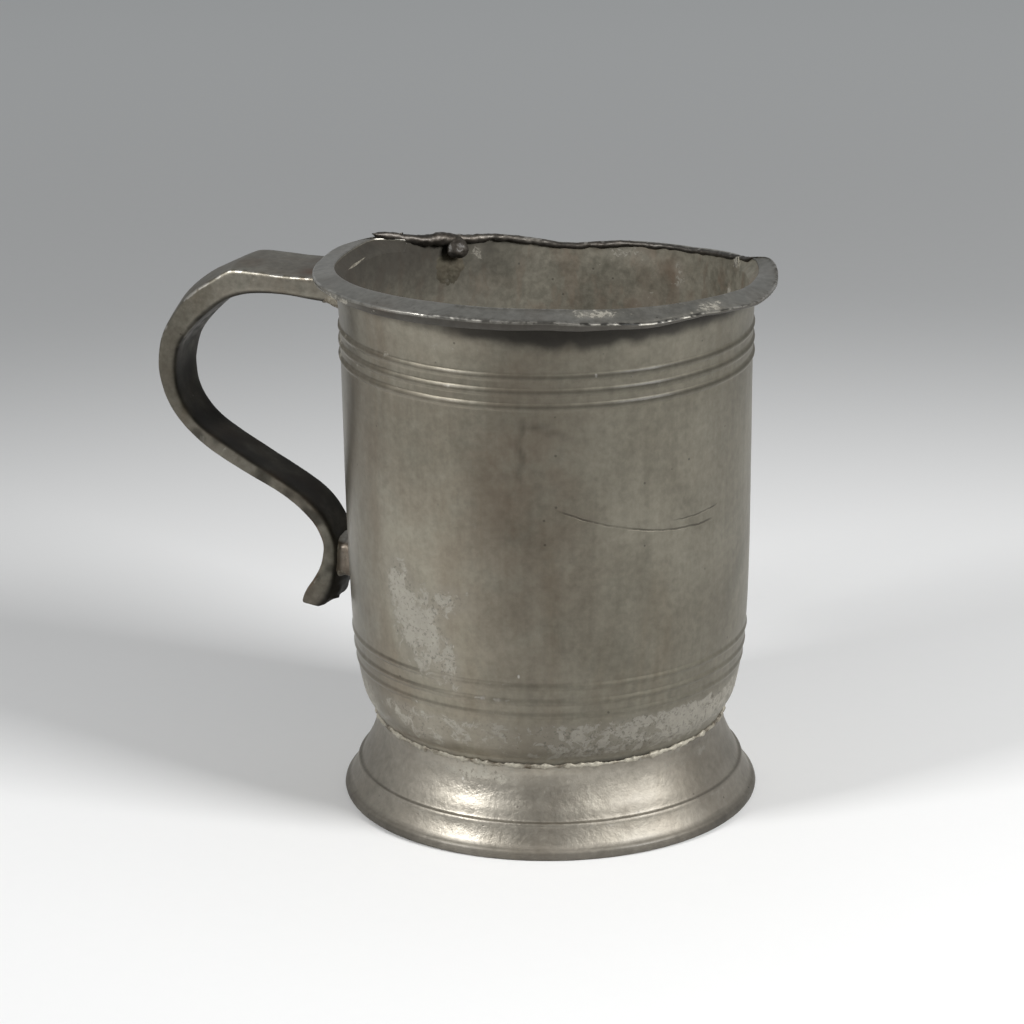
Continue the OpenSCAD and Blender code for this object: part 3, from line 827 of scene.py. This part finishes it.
def make_drip():
    """Lumpy drop of metal that hangs inside the rim, its neck pulled up to the melted edge."""
    turn, wide, deep, tall = 136.4, 2.6, 1.5, 1.8
    middle, neck = Vector(polar(41.2, turn, 112.9)), Vector(polar(1.3, turn, 1.3))
    radial, along = Vector(polar(1, turn, 0)), Vector(polar(1, turn + 90, 0))
    rows, marks = [], []
    for share in spaced(0, 1, 1 / 39):
        t = math.pi * (0.02 + 0.96 * share)
        row = []
        for u in angles(56):
            x, y, z = Vector((math.sin(t) * math.cos(u), math.sin(t) * math.sin(u), math.cos(t)))
            p = middle + radial * x * deep + along * y * wide + Vector((0, 0, z * tall))
            p += neck * max(z, 0) ** 1.6
            p += (radial * x + along * y + Vector((0, 0, z))) * 0.22 * crust(p, 1.5, 3)
            row.append(tuple(p))
            # A little rubbing and painted highlight on top of the drop, painted shade on its underside, and
            # darker tarnish
            marks.append((0.15 * step(z, 0.1, 0.8), 0.1, 0.2 + 0.4 * step(-z, 0, 0.8), 0.1, 0.7))
        rows.append(row)
    return skin("melted_drip", rows, marks, MELTED_PEWTER, ["rim_drip"])


def make_patch():
    """Blister on the inner wall: a domed skin with a crusty ring, its rim sunk into the wall."""
    mid_a, mid_z, wide, tall = 138.0, 107.8, 4.5, 4.3
    ring = angles(72)
    rows, marks = [], []
    for share in spaced(0, 1, 0.04):
        row = []
        for u in ring:
            reach = 1 + 0.1 * lumps((3 * math.cos(u), 3 * math.sin(u), 7.0), 1.8, 1)
            along, high = wide * share * reach * math.cos(u), tall * share * reach * math.sin(u)
            p = (along, high, 2.0)
            lift = 0.42 * (1 - share ** 2.5) - 0.12 + 0.2 * crust(p, 1.6, 6) * (1 - share ** 4)
            row.append(polar(WALL_IN - max(lift, -0.12), mid_a + math.degrees(along / WALL_IN), mid_z + high))
            # Painted shade along the lower arc of the ring
            low_arc = bell(share, 0.92, 0.1) * step(-math.sin(u), -0.2, 0.5)
            marks.append((0.0, 0.05 + 0.4 * lumps(p, 1.1, 3), 0.3 + 0.7 * low_arc, 0.25, 0.68))
        rows.append(row)
    rows.append([tuple(Vector(p) + Vector((p[0], p[1], 0)).normalized() * 0.35) for p in row])
    marks.extend([(0, 0.2, 0.4, 0.2)] * len(ring))
    return skin("wall_blister", rows, marks, PATCH_PEWTER, ["wall_patch"])


# ------ foot
# Outline of the foot, outside and inside: (distance in from its greatest radius, height)
FOOT_OUTSIDE = [
    (2.6, 0.0), (0.75, 0.0), (0.2, 0.3), (0.0, 1.0), (0.15, 1.7), (0.45, 2.15), (0.95, 2.6), (1.5, 3.35),
    (2.35, 5.0), (2.85, 6.3), (3.0, 6.9), (3.25, 7.3), (3.75, 7.45), (4.1, 7.85), (4.8, 9.5),
    (5.85, 11.6), (6.85, 14.2), (7.4, 16.8),
]
FOOT_INSIDE = [(8.4, 11.2), (6.6, 7.8), (5.0, 4.8), (3.4, 2.6)]
FOOT_LINE = [
    *((FOOT_R - inset, z) for inset, z in FOOT_OUTSIDE),
    (SEAM_OUT + 0.1, 18.2), (SEAM_OUT, SEAM_Z), (SEAM_IN - 2, SEAM_Z), (SEAM_IN - 2, SEAM_Z - 1.9),
    (36.1, 15.0),
    *((FOOT_R - inset, z) for inset, z in FOOT_INSIDE),
]


def make_foot():
    line = curve(FOOT_LINE + FOOT_LINE[:1], 5)[:-1]
    rows, marks = [], []
    for r0, z in line:
        row = []
        outside = r0 > FOOT_R - 8.2 and z < SEAM_Z - 0.2
        ledge = bell(z, 7.2, 0.5) * bell(r0, FOOT_R - 3.5, 0.8)
        # Dark patina in the ledge and in the crease above the bottom band; painted shade on the bottom band;
        # darker on the inner faces
        band = 1 - step(z, 1.6, 2.6)
        hollows_and_shade = 0.42 * ledge + 0.5 * band + 0.3 * bell(z, 3.0, 0.4) + 0.5 * (0 if outside else 1)
        for a in turns(380):
            p = polar(r0, a, z)
            r = r0 + 0.08 * lumps(p, 26, 1) + 0.035 * lumps(p, 5, 2) + 0.012 * lumps(p, 1.6, 3)
            row.append(leaned(min(r, FOOT_R + 0.05), a, max(z, 0.0)))
            # Rubbed ledge, and a painted highlight high on the upper slope
            wear_and_highlight = 0.3 * bell(z, 6.5, 0.5) + 0.22 * bell(z, 14.5, 2.5) * (0.6 + lumps(p, 8, 4))
            pale = 0.1 + 0.4 * patch(a, z, 262, 17, 12, 2.2) + 0.25 * bell(z, 15.5, 1.2)
            pale += 0.35 * step(z, 16.6, 18.4) * (0.6 + 0.5 * lumps(p, 6, 5))
            gap = turn_gap(a, FRONT_TURN)
            # Painted light and shade by azimuth from the front: lighter in the middle, a painted highlight on
            # the left and high on the left slope, dimmer where the right highlight falls, darker towards both
            # edges and on the bottom band
            tone = 0.9 + 0.12 * bell(gap, -3, 15) + 0.16 * bell(gap, -26, 10) - 0.1 * bell(gap, 26, 12)
            tone -= 0.34 * step(gap, 32, 56) * (1 - step(gap, 80, 110))
            tone -= 0.15 * step(-gap, 34, 56) * (1 - step(-gap, 80, 110))
            tone += 0.2 * bell(gap, -24, 9) * bell(z, 15.5, 3.5)
            tone *= 1 - 0.25 * (1 - step(z, 2.2, 3.4))
            marks.append((wear_and_highlight, pale, hollows_and_shade, 0.12 * (0.5 + 0.5 * lumps(p, 18, 6)), tone))
        rows.append(row)
    return skin("flared_foot", rows, marks, FOOT_PEWTER, ["foot"], closed_rows=True)


def make_foot_solder():
    """Crust of solder round the joint of the drum and the foot."""
    rows, marks = [], []
    for a in turns(720):
        row = []
        seam = polar(SEAM_OUT, a, 0)
        reach = max(0.34 + 0.26 * lumps(seam, 3.5, 1) + 0.26 * lumps(seam, 1.3, 2), 0.16)
        sway = 0.25 * lumps(polar(10, a, 0), 3.0, 3)
        for t in angles(12):
            r, z = SEAM_OUT + 0.12 + reach * math.cos(t), SEAM_Z + 0.1 + sway + 1.35 * reach * math.sin(t)
            p = polar(r, a, z)
            swell = 0.26 * crust(p, 0.8, 4)
            row.append(leaned(r + swell * math.cos(t), a, z + swell * math.sin(t)))
            pale, grime_and_shade = 0.5 + 0.5 * lumps(p, 3, 6), 0.2 + 0.5 * lumps(p, 3, 7)
            marks.append((0.3 * (0.3 + lumps(p, 4, 5)), pale, grime_and_shade, 0.15))
        rows.append(row)
    return skin("foot_solder", rows, marks, SOLDER, ["solder_foot"], closed_rows=True)


# ------ floor
def make_floor_disc():
    """Plate with faint turning rings above and a flat underside."""
    rows, marks = [], []
    ring = turns(160)
    radii = [SEAM_IN - SEAM_IN * k / 44 for k in range(44)] + [0.35]
    for r in radii:
        row = []
        for a in ring:
            p = polar(r, a, FLOOR_Z)
            z = FLOOR_Z - 0.25 * (1 - (r / SEAM_IN) ** 2) + 0.035 * math.sin(r * 2.1) + 0.08 * lumps(p, 9, 2)
            row.append(polar(r, a, z))
            marks.append((0.12, 0.25 + 0.2 * lumps(p, 8, 3), 0.45 + 0.3 * lumps(p, 14, 4), 0.4))
        rows.append(row)
    for r in reversed(radii):
        rows.append([polar(r, a, SEAM_Z + 0.02) for a in ring])
        marks.extend([(0, 0.2, 0.5, 0.3)] * len(ring))
    return skin("floor_plate", rows, marks, FLOOR_PEWTER, ["floor_disc"])


def make_floor_solder():
    rows, marks = [], []
    for a in turns(300):
        row = []
        for t in angles(10):
            r, z = SEAM_IN - 0.35 + 0.75 * math.cos(t), FLOOR_Z + 0.05 + 0.5 * math.sin(t)
            p = polar(r, a, z)
            swell = 0.16 * crust(p, 1.6, 2)
            row.append(polar(r + swell * math.cos(t), a, z + swell * math.sin(t)))
            marks.append((0.1, 0.3 + 0.4 * lumps(p, 4, 3), 0.3, 0.3))
        rows.append(row)
    return skin("floor_solder", rows, marks, SOLDER, ["solder_floor"], closed_rows=True)


# ------ handle
# Middle of the strap: (distance from the axis, height, width, thickness)
STRAP = [
    (46.0, 112.0, 18.5, 6.0), (51.3, 112.2, 18.5, 5.3), (57.4, 112.5, 18.5, 4.7), (63.5, 112.5, 18.5, 5.1),
    (68.6, 111.9, 18.4, 5.7), (73.0, 109.8, 18.2, 5.3), (77.8, 106.2, 17.6, 5.5), (82.1, 101.5, 16.4, 4.9),
    (85.0, 96.9, 14.9, 4.4), (86.2, 91.5, 13.7, 4.0), (86.1, 87.6, 13.1, 3.7), (85.2, 83.8, 12.7, 3.3),
    (82.9, 79.8, 12.3, 3.0), (79.3, 76.1, 12.0, 3.0), (75.0, 73.1, 12.0, 3.3), (68.5, 69.5, 12.0, 3.1),
    (60.5, 65.3, 12.0, 2.7), (54.8, 61.5, 12.0, 2.9), (51.2, 57.6, 12.0, 2.8), (49.3, 53.4, 12.1, 2.8),
    (49.2, 50.0, 12.4, 3.0), (50.0, 46.6, 12.8, 3.1), (51.5, 43.6, 13.2, 3.2), (53.1, 41.0, 13.4, 3.4),
    (54.1, 38.9, 13.0, 3.2), (54.3, 37.9, 12.2, 2.7),
]
# Crown of the strap's outer face, by point of STRAP
CROWN = [
    (0, 0.05), (3.6, 0.1), (4.4, 0.6), (5.2, 1.2), (6.4, 1.45), (7.4, 1.1), (8.5, 0.7), (10, 0.5),
    (20, 0.35), (25, 0.2),
]
# Lump of metal on the inner face of the tail, by point of STRAP
HEEL = [(19.8, 0.0), (20.8, 0.5), (21.6, 2.6), (22.6, 3.4), (23.4, 2.6), (24.4, 0.9), (25, 0.2)]
# Where the strap's flat top turns down, by point of STRAP, and the curve's steps between two points
CORNER, STRAP_STEPS = 4.03, 12
# Cross-section, as shares of the half width and half thickness; +1 is the outer face
STRAP_SECTION = [
    (-1.0, -0.3), (-0.985, -0.62), (-0.93, -0.88), (-0.84, -0.98), (-0.7, -1.0), (-0.35, -0.93), (0.0, -0.9),
    (0.35, -0.93), (0.7, -1.0), (0.84, -0.98), (0.93, -0.88), (0.985, -0.62), (1.0, -0.3), (1.0, 0.2),
    (1.0, 0.62), (0.985, 0.86), (0.945, 0.98), (0.88, 1.0), (0.72, 1.02), (0.35, 1.06), (0.0, 1.08),
    (-0.35, 1.06), (-0.72, 1.02), (-0.88, 1.0), (-0.945, 0.98), (-0.985, 0.86), (-1.0, 0.62), (-1.0, 0.2),
]


def make_handle():
    line = curve(STRAP, STRAP_STEPS)
    rows, marks = [], []
    last = len(line) - 1
    ring = curve(STRAP_SECTION + STRAP_SECTION[:1], 2)[:-1]
    for i, (away, high, wide, thick) in enumerate(line):
        ahead, behind = line[min(i + 1, last)], line[max(i - 1, 0)]
        run = Vector((ahead[0] - behind[0], ahead[1] - behind[1])).normalized()
        ending = step(i, last - 14, last)
        width = wide * (1 - 0.3 * ending ** 3)
        depth = thick * (1 - 0.6 * ending ** 3)
        share = i / last
        u = i / STRAP_STEPS
        crown, heel = lookup(CROWN, u), lookup(HEEL, u)
        arris_lift = 0.4 * math.exp(-abs(u - CORNER) / 0.6)
        row = []
        for s, t in ring:
            side = s * width / 2
            lift = t * depth / 2 + step(t, 0.5, 1.0) * (crown * (1 - s * s) + arris_lift)
            inward = step(-t, 0.3, 0.9)
            lift -= heel * inward * (1 - 0.5 * s * s) * (1 + 0.25 * crust((48, side, high), 3.5, 9))
            x, z = -(away - run[1] * lift), high + run[0] * lift
            p = Vector((x, side, z))
            p += Vector((0.1 * lumps(p, 8, 1), 0.14 * lumps(p, 10, 2), 0.1 * lumps(p, 7, 3)))
            p += Vector((1, 0, 1)) * 0.03 * lumps(p, 2.2, 4)
            row.append(tuple(p))
            arris = bell(abs(s), 0.97, 0.05) * step(t, 0.6, 0.95)
            low_arris = bell(abs(s), 0.95, 0.06) * step(-t, 0.6, 0.9)
            top_run = 1 - step(share, 0.22, 0.4)
            broken = step(lumps(p, 1.8, 8) + 0.5 * lumps(p, 0.8, 9), -0.25, 0.15)
            wear_and_highlight = arris * (0.5 + 0.35 * top_run) * (0.25 + 0.75 * broken) + 0.15 * low_arris
            inner = step(-t, 0.5, 0.95)
            # Painted shade on the inner face, turned to the drum, deeper on the heel; the outer faces darken
            # a little down the lower run
            grime_and_shade = inner * (0.75 + 0.35 * lumps(p, 5, 6)) + 0.1 * step(share, 0.3, 0.5) * (1 - inner)
            grime_and_shade += 0.35 * step(heel, 0.2, 2.0) * inner
            pale = 0.12 + 0.2 * bell(share, 0.5, 0.12) * (1 - inner)
            rust = 0.85 * patch(0, x, 0, -52.0, 1, 2.2) * step(t, 0.5, 0.9) * bell(side, -5, 4)
            face = (1 - inner) * (1 - step(t, 0.85, 1.0))
            # Painted shade: the inner face darker, and the sides and outer face darker past the top run; a
            # narrow speckled painted highlight crosses the inner face near the top, and the sides of the
            # lower run darken in random patches
            tone = 1.0 - 0.5 * inner - 0.26 * face * step(share, 0.18, 0.3) * (1 + 0.5 * lumps(p, 5, 12))
            tone -= 0.2 * (1 - face - inner) * step(share, 0.2, 0.3)
            tone += 0.45 * inner * bell(share, 0.28, 0.045) * step(lumps(p, 1.6, 11), -0.2, 0.2)
            tone -= 0.3 * face * step(share, 0.35, 0.45) * step(lumps(p, 4, 13), 0.0, 0.4)
            # A dark line along the lower edge of the side faces on the top run
            grime_and_shade += 0.5 * bell(t, -0.75, 0.18) * (1 - step(share, 0.25, 0.35)) * face
            rust += 0.45 * inner * bell(share, 0.6, 0.12) * step(lumps(p, 6, 14), -0.2, 0.4)
            marks.append((wear_and_highlight, pale, grime_and_shade, 0.2 * (0.5 + 0.5 * lumps(p, 9, 7)) + rust, tone))
        rows.append(row)
    return skin("strap_handle", rows, marks, HANDLE_PEWTER, ["handle"])


def make_strut():
    """Broad post between the strap and the drum, spreading against both."""
    rows, marks = [], []
    post_z, half_w, half_h = 48.9, 4.6, 4.2
    for share in spaced(0, 1, 0.04):
        x = 43.2 + share * 5.0
        spread = 0.9 * (1 - step(share, 0, 0.4)) + 0.6 * step(share, 0.7, 1)
        row = []
        for u in angles(64):
            side, high = squared(u, 0.6)
            p = Vector((-x, (half_w + spread) * side, post_z + (half_h + spread) * high))
            p += Vector((0, math.cos(u), math.sin(u))) * 0.28 * crust(p, 2.4, 1)
            row.append(tuple(p))
            marks.append((0.7 * step(math.sin(u), 0.6, 0.95), 0.4, 0.1 + 0.5 * step(share, 0.45, 0.9), 0.45))
        rows.append(row)
    return skin("handle_post", rows, marks, STRUT_PEWTER, ["handle_strut"])


def make_handle_solder():
    """Solder under the strap's end, spread against the wall and the lip's underside."""
    rows, marks = [], []
    for share in spaced(0, 1, 0.05):
        x = 43.8 + share * 4.6
        spread = 1 - step(share, 0, 0.9)
        row = []
        for u in angles(64):
            side, high = squared(u, 0.45)
            p = Vector((-x, (8.9 + 1.1 * spread) * side, 111.7 + (2.9 + 1.3 * spread) * high - 0.2 * share))
            p += Vector((0.3, math.cos(u), math.sin(u))) * 0.3 * crust(p, 2.2, 1)
            row.append(tuple(p))
            marks.append((0.2, 0.4 + 0.3 * lumps(p, 3, 2), 0.3, 0.2))
        rows.append(row)
    return skin("handle_solder", rows, marks, SOLDER, ["solder_handle"])


# ------ stage, light and camera
CAMERA_PLACE = (0, -0.859, 0.3518)
SENSOR_MM, LENS_MM = 36.0, 145.69


def make_stage():
    """Floor with a painted pool of light: pale near the tankard and a little to its right, falling off to
    grey away from it, lighter again far off, and darker out of view on the camera's side.
    """
    size, cells = 9.0, 48
    work = bmesh.new()
    bmesh.ops.create_grid(work, x_segments=cells, y_segments=cells, size=size)
    mesh = bpy.data.meshes.new("studio_floor")
    work.to_mesh(mesh)
    work.free()
    graph = Surface("studio_floor")
    coords = graph.node("TexCoord").outputs["Object"]
    near = graph.dot(coords, polar(1, FRONT_TURN, 0))
    wide = graph.times(graph.math("SUBTRACT", graph.dot(coords, polar(1, FRONT_TURN + 90, 0)), 0.03), 0.8)
    away = graph.math("SQRT", graph.math("ADD", graph.times(near, near), graph.times(wide, wide)))
    color = graph.mix(graph.ramp(away, 0.12, 0.42), (0.86, 0.86, 0.855), (0.5, 0.505, 0.505))
    color = graph.mix(graph.ramp(away, 0.4, 0.95), color, (0.73, 0.745, 0.745))
    color = graph.mix(graph.ramp(near, 0.15, 0.32, 0.0, 0.6), color, (0.25, 0.245, 0.235))
    dust = graph.noise(coords, 0.004, 5.0, 0.6)
    color = graph.mix(graph.ramp(dust, 0.35, 0.65, 0.0, 0.02), color, (0.7, 0.7, 0.7))
    graph.put(graph.shader.inputs["Base Color"], color)
    graph.shader.inputs["Roughness"].default_value = 0.85
    graph.shader.inputs["Specular IOR Level"].default_value = 0.1
    mesh.materials.append(graph.material)
    floor = bpy.data.objects.new("studio_floor", mesh)
    bpy.context.scene.collection.objects.link(floor)


def softbox(name, turn, rise, distance, size, power):
    """Square lamp aimed at the tankard; turn is its azimuth and rise its elevation, in degrees."""
    lamp = bpy.data.lights.new(name, "AREA")
    lamp.shape = "SQUARE"
    lamp.size = size
    lamp.energy = power
    obj = bpy.data.objects.new(name, lamp)
    bpy.context.scene.collection.objects.link(obj)
    target = Vector((0, 0, 0.06))
    e = math.radians(rise)
    obj.location = target + distance * Vector(polar(math.cos(e), turn, math.sin(e)))
    obj.rotation_euler = (target - obj.location).to_track_quat("-Z", "Y").to_euler()
    obj.visible_camera = False


def make_light():
    """Soft room, brighter from the photographer's side, and two softboxes."""
    world = bpy.data.worlds.new("studio")
    world.use_nodes = True
    bpy.context.scene.world = world
    graph = Graph(world.node_tree)
    turned = graph.dot(graph.node("TexCoord").outputs["Generated"], polar(-1, FRONT_TURN, 0))
    back = graph.tree.nodes["Background"]
    graph.put(back.inputs["Color"], (0.95, 0.975, 1.0))
    graph.put(back.inputs["Strength"], graph.ramp(turned, -0.6, 0.9, 0.1, 0.38))
    softbox("softbox_right", FRONT_TURN + 58.5, 33, 1.0, 0.34, 10.2)
    softbox("softbox_left", FRONT_TURN - 58.5, 33, 1.0, 0.22, 5.8)
    bpy.context.scene.view_settings.view_transform = "Standard"


def make_camera():
    """The photograph's camera, solved with the handle along its X and then turned with the tankard."""
    pitch, yaw, roll, turn = (math.radians(v) for v in (18.56, -0.521, -0.55, 18.0))
    ahead = Vector((math.cos(pitch) * math.sin(yaw), math.cos(pitch) * math.cos(yaw), -math.sin(pitch)))
    side = Vector((math.cos(yaw), -math.sin(yaw), 0))
    up = side.cross(ahead)
    right = math.cos(roll) * side + math.sin(roll) * up
    top = -math.sin(roll) * side + math.cos(roll) * up
    pose = Matrix((right, top, -ahead)).transposed().to_4x4()
    pose.translation = CAMERA_PLACE
    data = bpy.data.cameras.new("camera")
    data.sensor_width = SENSOR_MM
    data.lens = LENS_MM
    data.clip_start, data.clip_end = 0.01, 60.0
    camera = bpy.data.objects.new("camera", data)
    bpy.context.scene.collection.objects.link(camera)
    camera.matrix_world = Matrix.Rotation(turn, 4, "Z") @ pose
    bpy.context.scene.camera = camera


for make in (
    make_camera, make_light, make_stage, make_drum, make_lip, make_roll, make_drip, make_patch, make_foot,
    make_foot_solder, make_floor_disc, make_floor_solder, make_handle, make_strut, make_handle_solder,
):
    make()

bpy.context.view_layer.update()
